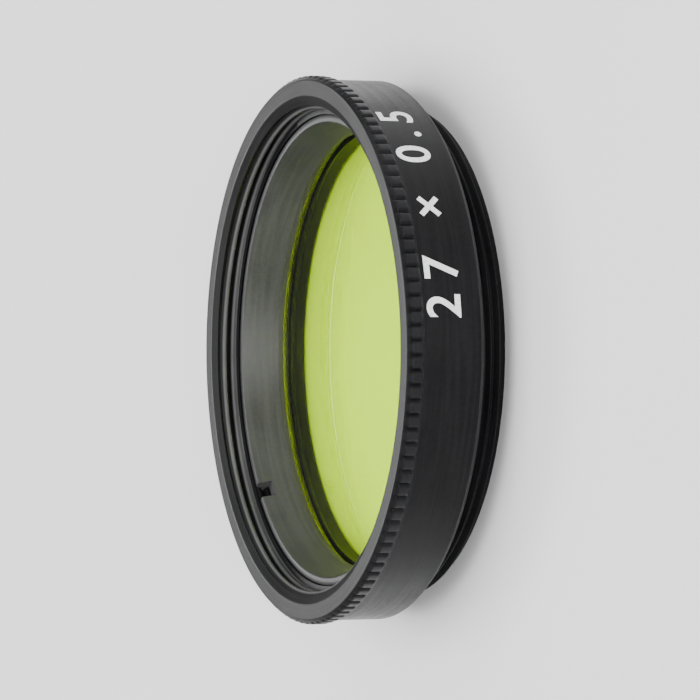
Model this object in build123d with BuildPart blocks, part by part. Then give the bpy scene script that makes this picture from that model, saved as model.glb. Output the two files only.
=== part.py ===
from build123d import *
from math import pi, radians, tan
import os

# Round optical filter in a threaded mount, in millimetres. Z is the optical axis. The mount stands on the
# end of its male thread at Z = 0, and its knurled front rim faces up.

# Metric fine thread, the same size at both ends of the mount
thread_d = 27.0
thread_pitch = 0.5
male_thread_h = 1.8
male_lead_chamfer = 0.35
relief_w = 0.4
relief_run_in = 0.15
relief_below_root = 0.1

# Outside of the mount: the wall stands this far out from the thread's nominal size
body_wall = 1.3
body_h = 4.5
shoulder_chamfer = 0.3

# Straight knurl on the raised front rim
knurl_h = 0.2
knurl_w = 1.0
knurl_pitch = 0.785
knurl_angle = 90.0
knurl_root_above_band = 0.02
rim_chamfer = 0.25

# Inside of the mount: the bevel at the rim, the free front thread, and the lip that the glass sits on
rim_bevel_w = 0.67
rim_bevel_h = 0.4
front_thread_h = 0.9
lip_w = 0.5
lip_h = 1.1
lip_chamfer = 0.2

# Glass disc: its edge lies this far in from the thread's nominal size
glass_inset = 1.0
glass_h = 1.5
glass_bevel = 0.15
glass_side_clearance = 0.05
glass_proud_h = 0.1

# Retaining ring, which drops through the front thread and screws into a smaller one below it
ring_pass_clearance = 0.03
ring_thread_clearance = 0.03
ring_below_ledge = 0.05
ring_face_w = 0.4
ring_bore_land_h = 0.3
ring_edge_chamfer = 0.1
slot_w = 1.0
slot_depth = 0.8
slot_count = 2

# Depths of a 60 degree metric thread, male and female
male_thread_depth = 0.61343 * thread_pitch
female_thread_depth = 0.54127 * thread_pitch

# Heights of the faces above the male thread's end
shoulder_z = male_thread_h
relief_z = shoulder_z - relief_w
rim_z = shoulder_z + body_h
knurl_z = rim_z - knurl_w
bevel_z = rim_z - rim_bevel_h
ledge_z = bevel_z - front_thread_h
ring_front_z = ledge_z - ring_below_ledge
glass_front_z = lip_h + glass_h
thread_floor_z = glass_front_z - glass_proud_h

# Radii on the outside, from the thread's crest outwards
male_crest_r = thread_d / 2
relief_r = male_crest_r - male_thread_depth - relief_below_root
band_r = male_crest_r + body_wall
knurl_r = band_r + knurl_h
knurl_root_r = band_r + knurl_root_above_band

# Radii on the inside, from the front thread's crest inwards
front_crest_r = male_crest_r - female_thread_depth
ring_thread_crest_r = front_crest_r - ring_pass_clearance - female_thread_depth
ring_r = ring_thread_crest_r - ring_thread_clearance
ring_mouth_r = ring_r - ring_face_w
glass_r = male_crest_r - glass_inset
pocket_r = glass_r + glass_side_clearance
clear_r = glass_r - lip_w
ring_wall = ring_r - clear_r

# The knurl's V grooves, drawn a little past the crests so that they cut clear of them
knurl_count = round(2 * pi * knurl_r / knurl_pitch)
half_tooth_angle = 180 / knurl_count
groove_reach = 1.5 * knurl_h
groove_half_w = groove_reach * tan(radians(knurl_angle / 2))

# Mount ring: one turned piece, its half section drawn from the male thread's end round to the bore
with BuildPart() as mount_ring:
    with BuildSketch(Plane.XZ):
        with BuildLine():
            Polyline(
                (clear_r + lip_chamfer, 0),
                (male_crest_r - male_lead_chamfer, 0),
                (male_crest_r, male_lead_chamfer),
                (male_crest_r, relief_z - relief_run_in),
                (relief_r, relief_z),
                (relief_r, shoulder_z),
                (band_r - shoulder_chamfer, shoulder_z),
                (band_r, shoulder_z + shoulder_chamfer),
                (band_r, knurl_z),
                (knurl_r, knurl_z + knurl_h),
                (knurl_r, rim_z - rim_chamfer),
                (knurl_r - rim_chamfer, rim_z),
                (front_crest_r + rim_bevel_w, rim_z),
                (front_crest_r, bevel_z),
                (front_crest_r, ledge_z),
                (ring_thread_crest_r, ledge_z),
                (ring_thread_crest_r, thread_floor_z),
                (pocket_r, thread_floor_z),
                (pocket_r, lip_h),
                (clear_r, lip_h),
                (clear_r, lip_chamfer),
                close=True,
            )
        make_face()
    revolve(axis=Axis.Z)

    # Grooves of the straight knurl, which stop just above the smooth band and leave a tooth on the X axis
    with BuildSketch(Plane.XY.offset(rim_z)):
        with PolarLocations(knurl_root_r, knurl_count, start_angle=half_tooth_angle):
            Polygon((0, 0), (groove_reach, -groove_half_w), (groove_reach, groove_half_w), align=None)
    extrude(amount=-knurl_w, mode=Mode.SUBTRACT)
mount_ring.part.label = "mount_ring"

# Filter glass: a flat disc with a ground bevel on both edges
with BuildPart() as filter_glass:
    with BuildSketch(Plane.XY.offset(lip_h)):
        Circle(glass_r)
    extrude(amount=glass_h)
    chamfer(filter_glass.edges().filter_by(GeomType.CIRCLE), length=glass_bevel)
filter_glass.part.label = "filter_glass"

# Retaining ring: screwed down on the glass, its bore widening towards the front
with BuildPart() as retaining_ring:
    with BuildSketch(Plane.XZ):
        with BuildLine():
            Polyline(
                (clear_r, glass_front_z),
                (ring_r - ring_edge_chamfer, glass_front_z),
                (ring_r, glass_front_z + ring_edge_chamfer),
                (ring_r, ring_front_z - ring_edge_chamfer),
                (ring_r - ring_edge_chamfer, ring_front_z),
                (ring_mouth_r, ring_front_z),
                (clear_r, glass_front_z + ring_bore_land_h),
                close=True,
            )
        make_face()
    revolve(axis=Axis.Z)

    # Spanner slots across the whole front face
    with BuildSketch(Plane.XY.offset(ring_front_z)):
        with PolarLocations(clear_r + ring_wall / 2, slot_count):
            Rectangle(2 * ring_wall, slot_w)
    extrude(amount=-slot_depth, mode=Mode.SUBTRACT)
retaining_ring.part.label = "retaining_ring"

os.makedirs("parts", exist_ok=True)
for piece in (mount_ring, filter_glass, retaining_ring):
    export_step(piece.part, f"parts/{piece.part.label}.step")
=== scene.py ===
from math import cos, radians, sin, tau

import bmesh
import bpy
import numpy as np
from mathutils import Matrix, Vector


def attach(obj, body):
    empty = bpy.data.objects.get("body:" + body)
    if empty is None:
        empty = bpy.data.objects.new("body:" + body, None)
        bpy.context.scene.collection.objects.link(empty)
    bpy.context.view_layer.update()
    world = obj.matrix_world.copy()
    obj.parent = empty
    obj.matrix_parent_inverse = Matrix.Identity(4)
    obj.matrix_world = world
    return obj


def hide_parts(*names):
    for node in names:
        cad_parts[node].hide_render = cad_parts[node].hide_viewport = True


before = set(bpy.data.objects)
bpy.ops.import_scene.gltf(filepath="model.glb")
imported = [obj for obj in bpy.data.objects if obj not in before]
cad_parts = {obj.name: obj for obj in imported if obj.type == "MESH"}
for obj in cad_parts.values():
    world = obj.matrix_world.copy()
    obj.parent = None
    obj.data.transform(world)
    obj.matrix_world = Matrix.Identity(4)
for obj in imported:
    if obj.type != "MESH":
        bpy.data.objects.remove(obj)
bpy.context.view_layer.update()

# Mount ring. Turned in one piece from aluminium bar, screw cut at both ends and straight knurled on the front
# edge, then anodised satin black. Its male thread goes into a lens, and everything else is held inside it.
MM = 0.001
PITCH = 0.5
TEETH, TOOTH_PITCH = 120, 0.785
TOOTH_PHASES = (0, 0.22, 0.29, 0.5, 0.71, 0.78)
BAND_R, KNURL_ROOT_R, KNURL_R = 14.8, 14.82, 15.0
SHOULDER_Z, KNURL_FOOT_Z, RIM_Z = 1.8, 5.3, 6.3
MALE_CREST_R, MALE_ROOT_R, LEAD_IN_R = 13.5, 13.193, 13.15
RELIEF_R, RELIEF_Z, RUN_OUT_Z = 13.093, 1.4, 1.25
FRONT_CREST_R, FRONT_ROOT_R = 13.229, 13.5
INNER_CREST_R, INNER_ROOT_R = 12.929, 13.199
LEDGE_Z, BEVEL_FOOT_Z, BEVEL_ROOT_Z = 5.0, 5.9, 6.0618
BEVEL_W, BEVEL_H = 0.67, 0.4
THREAD_FLOOR_Z, POCKET_R, LIP_Z, CLEAR_R = 2.5, 12.55, 1.1, 12.0
EDGE_CUT, LONG_RUN = 0.035, 0.3


def rounded(corners):
    """A turned profile with each corner broken and bowed, and a row beside it that keeps a long run true."""
    straight_on, reach_share, row_gap = 0.05, 0.45, 3 * EDGE_CUT
    points = [Vector(corner) for corner in corners]
    made = [points[0]]
    for before, here, after in zip(points, points[1:], points[2:]):
        back_run, on_run = (before - here).length, (after - here).length
        back, on = (before - here).normalized(), (after - here).normalized()
        if abs(back.cross(on)) < straight_on:
            made.append(here)
            continue
        reach = min(EDGE_CUT, reach_share * back_run, reach_share * on_run)
        first, last = here + back * reach, here + on * reach
        if back_run > LONG_RUN:
            made.append(here + back * row_gap)
        made += [first, (first + 2 * here + last) / 4, last]
        if on_run > LONG_RUN:
            made.append(here + on * row_gap)
    return made + [points[-1]]


def screw_knots(crest, root, crest_half, root_half):
    """One pitch of a 60 degree thread, its corners broken, as phases and radii. The crest is at phase 0."""
    edge = 0.02
    drop = (root - crest) * edge / (0.5 - root_half - crest_half)
    return (
        (-crest_half - edge, crest + drop),
        (-crest_half + edge, crest),
        (crest_half - edge, crest),
        (crest_half + edge, crest + drop),
        (0.5 - root_half, root),
        (0.5 + root_half, root),
    )


def screw_rows(knots, turn, start, low, high, limit):
    """Rows of a right-hand thread from low to high: each follows the helix, and limit trims its radius."""
    phases, radii = (np.array(column) for column in zip(*knots))
    rows = []
    for lap in range(int((low - start) / PITCH) - 2, int((high - start) / PITCH) + 2):
        for phase in phases:
            z = np.clip(start + PITCH * (lap + phase + turn / tau), low, high)
            r = np.interp((z - start) / PITCH - turn / tau, phases, radii, period=1)
            rows.append((limit(z, r), z))
    return rows


def plain_rows(profile, turn):
    """Rows of a plain turned stretch, the same all the way round."""
    return [(np.full_like(turn, r), np.full_like(turn, z)) for r, z in profile]


def turned(name, rows, turn):
    """A closed turned solid through the rows, all in millimetres, with its seam joined."""
    r, z = (np.array(side) for side in zip(*rows))
    place = np.stack((r * np.cos(turn), r * np.sin(turn), z), -1) * MM
    count, width = r.shape
    here = np.arange(count)[:, None] * width + np.arange(width - 1)
    there = np.roll(np.arange(count), -1)[:, None] * width + np.arange(width - 1)
    faces = np.stack((here, here + 1, there + 1, there), -1)
    mesh = bpy.data.meshes.new(name)
    mesh.from_pydata(place.reshape(-1, 3).tolist(), [], faces.reshape(-1, 4).tolist())
    join_seam = 2e-7
    work = bmesh.new()
    work.from_mesh(mesh)
    bmesh.ops.remove_doubles(work, verts=work.verts, dist=join_seam)
    bmesh.ops.recalc_face_normals(work, faces=work.faces)
    work.to_mesh(mesh)
    work.free()
    piece = bpy.data.objects.new(name, mesh)
    bpy.context.scene.collection.objects.link(piece)
    return piece


def as_shown(piece):
    """The piece's mesh with its modifiers applied."""
    graph = bpy.context.evaluated_depsgraph_get()
    return bpy.data.meshes.new_from_object(piece.evaluated_get(graph), depsgraph=graph)


def read(collection, name, width=3):
    """One property of a whole mesh as an array."""
    values = np.zeros(len(collection) * width, np.int32 if name == "vertex_index" else np.float32)
    collection.foreach_get(name, values)
    return values.reshape(-1, width)


def dress(piece, material, slot, *nodes):
    """Smooth shading with crisp edges, true to the turned surface; the finish; and the place in the frame."""
    crisp, across = radians(50), 0.06
    piece.data.shade_smooth()
    piece.data.set_sharp_from_angle(angle=crisp)
    piece.modifiers.new("even_normals", "WEIGHTED_NORMAL").keep_sharp = True
    even = as_shown(piece)
    normals = read(even.corner_normals, "vector")
    out = read(even.vertices, "co")[read(even.loops, "vertex_index", 1).ravel()] * (1, 1, 0)
    out /= np.maximum(np.linalg.norm(out, axis=1, keepdims=True), MM * MM)
    true = out * (normals * out).sum(1, keepdims=True) + normals * (0, 0, 1)
    cut = np.linalg.norm(normals - true, axis=1, keepdims=True) > across
    piece.modifiers.clear()
    piece.data.normals_split_custom_set(np.where(cut, normals, true).tolist())
    piece.data.materials.clear()
    piece.data.materials.append(material)
    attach(piece, "root")
    if nodes:
        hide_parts(*nodes)


# Columns of the mount, tooth by tooth: a crest's middle, two round each of its corners, and a groove's root
mount_turn = np.append((np.arange(TEETH)[:, None] + np.array(TOOTH_PHASES)).ravel(), TEETH) * tau / TEETH
tooth_phase = np.tile(TOOTH_PHASES, TEETH)
tooth_r = np.append(KNURL_ROOT_R + abs(0.5 - tooth_phase) * TOOTH_PITCH, KNURL_ROOT_R + 0.5 * TOOTH_PITCH)


def male_limit(z, r):
    """The lead-in chamfer at the end and the run-out into the relief groove."""
    run_out = (MALE_CREST_R - RELIEF_R) / (RELIEF_Z - RUN_OUT_Z)
    return np.minimum(r, np.minimum(LEAD_IN_R + z, MALE_CREST_R - (z - RUN_OUT_Z) * run_out))


def front_limit(z, r):
    """The run-out above the ledge and the bevel at the rim."""
    run_out = 1.2
    bevel = FRONT_CREST_R + (z - BEVEL_FOOT_Z) * BEVEL_W / BEVEL_H
    return np.maximum(bevel, np.minimum(r, FRONT_CREST_R + (z - LEDGE_Z) * run_out))


def inner_limit(z, r):
    """The thread that holds the retaining ring, run out at both its ends."""
    return np.minimum(r, INNER_CREST_R + np.minimum(z - THREAD_FLOOR_Z, LEDGE_Z - z))


back_lip = rounded([(CLEAR_R, LIP_Z), (CLEAR_R, 0.2), (12.2, 0), (LEAD_IN_R, 0)])
outside = rounded([
    (RELIEF_R, RELIEF_Z), (RELIEF_R, SHOULDER_Z), (14.5, SHOULDER_Z), (BAND_R, 2.1), (BAND_R, KNURL_FOOT_Z),
    (KNURL_ROOT_R, 5.32), (14.91, 5.41), (KNURL_R, 5.5), (KNURL_R, 6.05), (14.91, 6.14), (KNURL_ROOT_R, 6.23),
    (14.75, RIM_Z), (FRONT_CREST_R + BEVEL_W, RIM_Z), (FRONT_ROOT_R, BEVEL_ROOT_Z)])
inside_teeth = 14.7
knurled = [
    (np.minimum(r, tooth_r) if z[0] > KNURL_FOOT_Z and r[0] > inside_teeth else r, z)
    for r, z in plain_rows(outside, mount_turn)]

# Half widths of a thread's crest and root, in pitches: the male thread's, then the female threads'
MALE_HALVES, FEMALE_HALVES = (0.0625, 0.0833), (0.125, 0.0625)
male_knots = screw_knots(MALE_CREST_R, MALE_ROOT_R, *MALE_HALVES)
front_knots = screw_knots(FRONT_CREST_R, FRONT_ROOT_R, *FEMALE_HALVES)
inner_knots = screw_knots(INNER_CREST_R, INNER_ROOT_R, *FEMALE_HALVES)
male_rows = screw_rows(male_knots, mount_turn, 0.0, 0.0, RELIEF_Z, male_limit)
front_rows = screw_rows(front_knots, mount_turn, LEDGE_Z, LEDGE_Z, BEVEL_ROOT_Z, front_limit)
inner_rows = screw_rows(inner_knots, mount_turn, THREAD_FLOOR_Z, THREAD_FLOOR_Z, LEDGE_Z, inner_limit)
pocket = rounded([
    (INNER_CREST_R, THREAD_FLOOR_Z), (POCKET_R, THREAD_FLOOR_Z), (POCKET_R, LIP_Z), (CLEAR_R, LIP_Z)])
mount_ring = turned(
    "mount_ring_turned",
    plain_rows(back_lip, mount_turn) + male_rows + knurled + front_rows[::-1] + inner_rows[::-1]
    + plain_rows(pocket[1:-1], mount_turn),
    mount_turn)


class Field:
    """A socket that Python's operators work on: a sum on it adds Math nodes beside it."""

    def __init__(self, socket):
        self.socket = socket

    def node(self, kind, settings=None, inputs=None, output=0):
        """Another node in the same material: its settings come first, then its sockets' values or links."""
        tree = self.socket.id_data
        made = tree.nodes.new("ShaderNode" + kind)
        for name, setting in (settings or {}).items():
            setattr(made, name, setting)
        for name, value in (inputs or {}).items():
            if isinstance(value, Field):
                tree.links.new(value.socket, made.inputs[name])
            else:
                made.inputs[name].default_value = value
        return Field(made.outputs[output]) if made.outputs else None

    def maths(self, operation, *values):
        return self.node("Math", {"operation": operation}, dict(enumerate(values)))

    def __add__(self, other):
        return self.maths("ADD", self, other)

    def __sub__(self, other):
        return self.maths("SUBTRACT", self, other)

    def __rsub__(self, other):
        return self.maths("SUBTRACT", other, self)

    def __mul__(self, other):
        return self.maths("MULTIPLY", self, other)

    def __truediv__(self, other):
        return self.maths("DIVIDE", self, other)

    __radd__ = __add__
    __rmul__ = __mul__

    def rise(self, low, high):
        """0 below low, 1 above high, and a smooth step between."""
        return self.node("MapRange", {"interpolation_type": "SMOOTHSTEP"}, {0: self, 1: low, 2: high})

    def noise(self, scale, detail=2.0):
        """Noise on this place, from 0 to 1."""
        return self.node("TexNoise", None, {"Vector": self, "Scale": scale, "Detail": detail}).rise(0.3, 0.7)

    def tint(self, dark, light):
        """A colour between two, by this share."""
        mix = {"data_type": "RGBA"}
        return self.node("Mix", mix, {0: self, 6: (*dark, 1), 7: (*light, 1)}, output=2)


def new_finish(name):
    """A new material, and the place on the object in millimetres."""
    material = bpy.data.materials.new(name)
    material.use_nodes = True
    material.node_tree.nodes.clear()
    metres = Field(material.node_tree.nodes.new("ShaderNodeTexCoord").outputs["Object"])
    return material, metres.node("VectorMath", {"operation": "SCALE"}, {0: metres, 3: 1 / MM})


def around(place):
    """The x, y and z of a place, and its distance from the axis."""
    x, y, z = (place.node("SeparateXYZ", None, {0: place}, output=k) for k in range(3))
    return x, y, z, place.maths("SQRT", x * x + y * y)


# The grey painted on the front thread's crests: partly rubbing wear, partly painted sheen for the light the
# thread catches.
RUB_AND_SHEEN_GREY = (0.10, 0.10, 0.102)


def anodised(name, dark, light, polish, sheen):
    """Black anodised aluminium: turned lines round the axis, etched grain, haze, knurl crests painted lighter
    as wear and painted highlight, and front thread crests painted grey as rubbing wear and painted sheen.
    """
    material, place = new_finish(name)
    x, y, z, r = around(place)
    line_cells, grain_cells, haze_cells = 4.3, 5.2, 0.22
    lathe = place.node("CombineXYZ", None, {0: x / r * 0.8 + y / r * 0.3, 1: r + z * 0.31, 2: z - r * 0.31})
    lines = lathe.noise(line_cells, 1.0)
    askew = place.node("VectorRotate", {"rotation_type": "EULER_XYZ"}, {0: place, 4: (0.6, 0.9, 0.4)})
    grain = askew.noise(grain_cells, 1.0)
    haze = askew.noise(haze_cells, 3.0)
    # Painted highlight: the knurl crests are painted lighter for the light their edges catch, and also as edge
    # wear.
    crest = r.rise(KNURL_R - 0.07, KNURL_R) * z.rise(5.45, 5.52)
    shade = lines * 0.3 + grain * 0.12 + haze * 0.25 + crest * 0.6
    # Painted sheen: the front thread's crests are painted light grey for the light they catch, and also as
    # rubbing wear.
    front_thread = r.rise(13.0, 13.1) * z.rise(LEDGE_Z, LEDGE_Z + 0.05)
    rub_and_sheen = front_thread * (1 - r.rise(FRONT_CREST_R + 0.04, FRONT_CREST_R + 0.16)) * (haze * 0.3 + 0.7)
    black = shade.tint(dark, light)
    colour = place.node("Mix", {"data_type": "RGBA"}, {0: rub_and_sheen, 6: black, 7: (*RUB_AND_SHEEN_GREY, 1)}, output=2)
    rough = polish + lines * 0.07 + grain * 0.04 + haze * 0.08
    bump = place.node("Bump", None, {"Strength": 0.6, "Distance": 4e-6, "Height": lines * 0.8 + grain * 0.2})
    surface = place.node("BsdfPrincipled", None, {
        "Base Color": colour, "Roughness": rough, "Normal": bump, "IOR": 1.5,
        "Specular Tint": (sheen, sheen, sheen, 1)})
    place.node("OutputMaterial", None, {"Surface": surface})
    return material


MOUNT_BLACK, MOUNT_LIGHT = (0.004, 0.004, 0.0045), (0.012, 0.012, 0.013)
mount_finish = anodised("mount_black_anodised", MOUNT_BLACK, MOUNT_LIGHT, 0.30, 0.1)
dress(mount_ring, mount_finish, "black_anodised", "mount_ring")

# Filter glass. A disc cut from coloured optical glass, its edge and edge bevels ground and its faces polished
# and coated. It drops into the mount from the front and lies on the lip.
GLASS_R, MID_R, GLASS_LOW_Z, GLASS_HIGH_Z, GLASS_BEVEL = 12.5, 6.0, 1.1, 2.6, 0.15
GLASS_TINT, SMEAR_TINT = (0.82, 1.0, 0.02), (0.77, 0.98, 0.02)

glass_turn = np.linspace(0, tau, 361)
glass_profile = [
    (0, GLASS_LOW_Z), (MID_R, GLASS_LOW_Z), (GLASS_R - GLASS_BEVEL, GLASS_LOW_Z),
    (GLASS_R, GLASS_LOW_Z + GLASS_BEVEL), (GLASS_R, GLASS_HIGH_Z - GLASS_BEVEL),
    (GLASS_R - GLASS_BEVEL, GLASS_HIGH_Z), (MID_R, GLASS_HIGH_Z), (0, GLASS_HIGH_Z)]
filter_glass = turned("filter_glass_disc", plain_rows(glass_profile, glass_turn), glass_turn)

glass_finish, place = new_finish("filter_glass_coated")
ground = around(place)[3].rise(GLASS_R - 0.17, GLASS_R - 0.14)
smears = place.noise(0.35, 4.0)
specks = place.noise(9.0, 0.0).rise(0.93, 1.0)
surface = place.node("BsdfPrincipled", None, {
    "Base Color": (smears * 0.3 + ground * 0.7).tint(GLASS_TINT, SMEAR_TINT),
    "Roughness": ground * 0.45 + smears * 0.01 + specks * 0.03, "IOR": 1.52, "Transmission Weight": 1.0,
    "Specular Tint": (0.10, 0.12, 0.11, 1)})
lamp_light = place.node("BsdfTransparent", None, {"Color": (*GLASS_TINT, 1)})
on_lamp_path = place.node("LightPath", output=1)
through = place.node("MixShader", None, {0: on_lamp_path, 1: surface, 2: lamp_light})
place.node("OutputMaterial", None, {"Surface": through})
dress(filter_glass, glass_finish, "filter_glass", "filter_glass")

# Retaining ring. A thin turned aluminium ring with a fine male thread, anodised black like the mount but
# painted in lighter greys, as painted light on the inner walls. It is screwed down on the glass with a spanner
# in its two slots, and its bore widens towards the front.
RING_PLAY = 0.03
RING_LOW_Z, RING_HIGH_Z, LAND_Z = 2.6, 4.95, 2.9
RING_END_R, MOUTH_R = 12.799, 12.499
SLOT_FLOOR_Z, SLOT_W = 4.15, 1.0
# Painted light: the ring's colours are about ten times lighter than the mount's same black anodising, so its
# inner walls read as lit.
RING_PAINTED_LIT_DARK, RING_PAINTED_LIT_LIGHT = (0.040, 0.040, 0.041), (0.085, 0.085, 0.087)

ring_turn = np.linspace(0, tau, 361)


def ring_limit(z, r):
    """The chamfers at both ends of the ring's male thread."""
    return np.minimum(r - RING_PLAY, RING_END_R + np.minimum(z - RING_LOW_Z, RING_HIGH_Z - z))


ring_bore = rounded([
    (RING_END_R, RING_HIGH_Z), (12.649, RING_HIGH_Z), (MOUTH_R, RING_HIGH_Z), (CLEAR_R, LAND_Z),
    (CLEAR_R, RING_LOW_Z), (12.4, RING_LOW_Z)])
ring_rows = screw_rows(inner_knots, ring_turn, THREAD_FLOOR_Z, RING_LOW_Z, RING_HIGH_Z, ring_limit)
retaining_ring = turned("retaining_ring_turned", ring_rows + plain_rows(ring_bore[1:], ring_turn), ring_turn)

cutter_mesh = bpy.data.meshes.new("slot_cutter")
cutter = bpy.data.objects.new("slot_cutter", cutter_mesh)
bpy.context.scene.collection.objects.link(cutter)
work = bmesh.new()
cutter_r, cutter_run, cutter_h = 12.6, 2.0, 1.0
for side in (-1, 1):
    bmesh.ops.create_cube(work, size=1, matrix=(
        Matrix.Translation(Vector((side * cutter_r, 0, SLOT_FLOOR_Z + cutter_h / 2)) * MM)
        @ Matrix.Diagonal((cutter_run * MM, SLOT_W * MM, cutter_h * MM, 1))))
work.to_mesh(cutter_mesh)
work.free()
slots = retaining_ring.modifiers.new("slots", "BOOLEAN")
slots.operation, slots.solver, slots.object = "DIFFERENCE", "EXACT", cutter
slotted = as_shown(retaining_ring)
retaining_ring.modifiers.clear()
retaining_ring.data = slotted
bpy.data.objects.remove(cutter)
ring_finish = anodised("ring_black_anodised", RING_PAINTED_LIT_DARK, RING_PAINTED_LIT_LIGHT, 0.36, 0.5)
dress(retaining_ring, ring_finish, "black_anodised", "retaining_ring")

# Size mark. The thread's size, 27 mm by 0.5 mm, pad printed in white ink on the smooth band, one thin layer
# that follows the curve and reads upwards when the front faces left.
INK_LOW, INK_HIGH = -0.012, 0.010
MARK_TURN, MARK_Z = radians(-6.5), 4.15
MARK_SIZE, MARK_SPACING, MARK_WEIGHT, MARK_STEP = 2.7, 1.5, 0.035, 0.2

letters = bpy.data.curves.new("size_mark_line", "FONT")
letters.body = "27 × 0.5"
letters.size, letters.space_character, letters.offset = MARK_SIZE, MARK_SPACING, MARK_WEIGHT
letters.align_x, letters.align_y = "CENTER", "CENTER"
letters.resolution_u = 6
line = bpy.data.objects.new("size_mark_line", letters)
bpy.context.scene.collection.objects.link(line)
ink_mesh = as_shown(line)
bpy.data.objects.remove(line)
work = bmesh.new()
work.from_mesh(ink_mesh)
half_line = max(abs(corner.co.x) for corner in work.verts)
for cut in np.arange(-half_line, half_line, MARK_STEP):
    bmesh.ops.bisect_plane(
        work, geom=work.verts[:] + work.edges[:] + work.faces[:], plane_co=(cut, 0, 0), plane_no=(1, 0, 0),
        dist=1e-5)
middle = (max(corner.co.y for corner in work.verts) + min(corner.co.y for corner in work.verts)) / 2
raised = bmesh.ops.extrude_face_region(work, geom=work.faces[:])["geom"]
top = {part for part in raised if isinstance(part, bmesh.types.BMVert)}
for corner in work.verts:
    r, turn = BAND_R + (INK_HIGH if corner in top else INK_LOW), MARK_TURN + corner.co.x / BAND_R
    corner.co = Vector((r * cos(turn), r * sin(turn), MARK_Z + corner.co.y - middle)) * MM
bmesh.ops.recalc_face_normals(work, faces=work.faces)
work.to_mesh(ink_mesh)
work.free()
size_mark = bpy.data.objects.new("size_mark", ink_mesh)
bpy.context.scene.collection.objects.link(size_mark)

ink, place = new_finish("white_pad_ink")
patch = place.noise(6.0, 3.0)
thin = place.noise(26.0, 1.0)
ink_bump = place.node("Bump", None, {"Strength": 0.5, "Distance": 3e-6, "Height": thin})
surface = place.node("BsdfPrincipled", None, {
    "Base Color": (patch * 0.6 + thin * 0.4).tint((0.62, 0.62, 0.61), (0.84, 0.84, 0.83)),
    "Roughness": 0.45 + patch * 0.15, "Normal": ink_bump})
place.node("OutputMaterial", None, {"Surface": surface})
dress(size_mark, ink, "white_ink")

# Studio. A plain pale table that the filter stands on, thread down, under one broad overhead softbox with
# weaker ones around it. The camera looks across the front face, turned so that the ring stands upright.
CAMERA_TURN, CAMERA_RISE = radians(-39.5), radians(22.4)
CAMERA_FAR, CAMERA_LENS = 0.25, 234.0
AIM = Vector((0, 0, 3.4)) * MM

table_mesh = bpy.data.meshes.new("table")
table_side = 3.0
table_mesh.from_pydata(
    [(-table_side, -table_side, 0), (table_side, -table_side, 0), (table_side, table_side, 0),
     (-table_side, table_side, 0)], [], [(0, 1, 2, 3)])
table = bpy.data.objects.new("table", table_mesh)
bpy.context.scene.collection.objects.link(table)
table_finish, place = new_finish("pale_table")
cloud = place.noise(0.02, 2.0)
surface = place.node("BsdfPrincipled", None, {
    "Base Color": cloud.tint((0.78, 0.78, 0.78), (0.80, 0.80, 0.80)), "Roughness": 0.85})
place.node("OutputMaterial", None, {"Surface": surface})
table_mesh.materials.append(table_finish)

world = bpy.data.worlds.new("studio")
world.use_nodes = True
backdrop = world.node_tree.nodes["Background"]
backdrop.inputs["Color"].default_value = (0.80, 0.80, 0.80, 1)
# The room is as bright as the far table at the horizon, darker in a band above it, and brightest overhead
sight = Field(world.node_tree.nodes.new("ShaderNodeTexCoord").outputs["Generated"])
height = sight.node("SeparateXYZ", None, {0: sight}, output=2)
room = 0.7 - height.rise(0.03, 0.12) * 0.45 + height.rise(0.50, 0.70) * 0.95
world.node_tree.links.new(room.socket, backdrop.inputs["Strength"])
bpy.context.scene.world = world


def softbox(name, turn, rise, far, side, watts):
    """A square lamp aimed at the filter from that turn and rise, in degrees from the camera's side."""
    lamp = bpy.data.lights.new(name, "AREA")
    lamp.shape, lamp.size, lamp.energy = "SQUARE", side, watts
    holder = bpy.data.objects.new(name, lamp)
    bpy.context.scene.collection.objects.link(holder)
    turn, rise = CAMERA_TURN + radians(turn), radians(rise)
    towards = Vector((cos(rise) * cos(turn), cos(rise) * sin(turn), sin(rise)))
    holder.location = AIM + towards * far
    holder.rotation_mode = "QUATERNION"
    holder.rotation_quaternion = towards.to_track_quat("Z", "Y")


softbox("overhead", 0, 84, 0.8, 0.7, 7.5)
softbox("upper_side", 90, 25, 0.7, 0.35, 1.5)
softbox("lower_side", -90, 35, 0.9, 0.5, 1.0)
softbox("far_side", 180, 43, 0.9, 0.38, 5.2)
softbox("near_side", 0, 10, 0.7, 0.30, 6.0)

camera_data = bpy.data.cameras.new("camera")
camera_data.lens = CAMERA_LENS
camera = bpy.data.objects.new("camera", camera_data)
bpy.context.scene.collection.objects.link(camera)
bpy.context.scene.camera = camera
towards = Vector((cos(CAMERA_RISE) * cos(CAMERA_TURN), cos(CAMERA_RISE) * sin(CAMERA_TURN), sin(CAMERA_RISE)))
up = Vector((-sin(CAMERA_TURN), cos(CAMERA_TURN), 0))
right = up.cross(towards)
facing = Matrix((right, up, towards)).transposed().to_4x4()
camera.matrix_world = Matrix.Translation(AIM + towards * CAMERA_FAR) @ facing
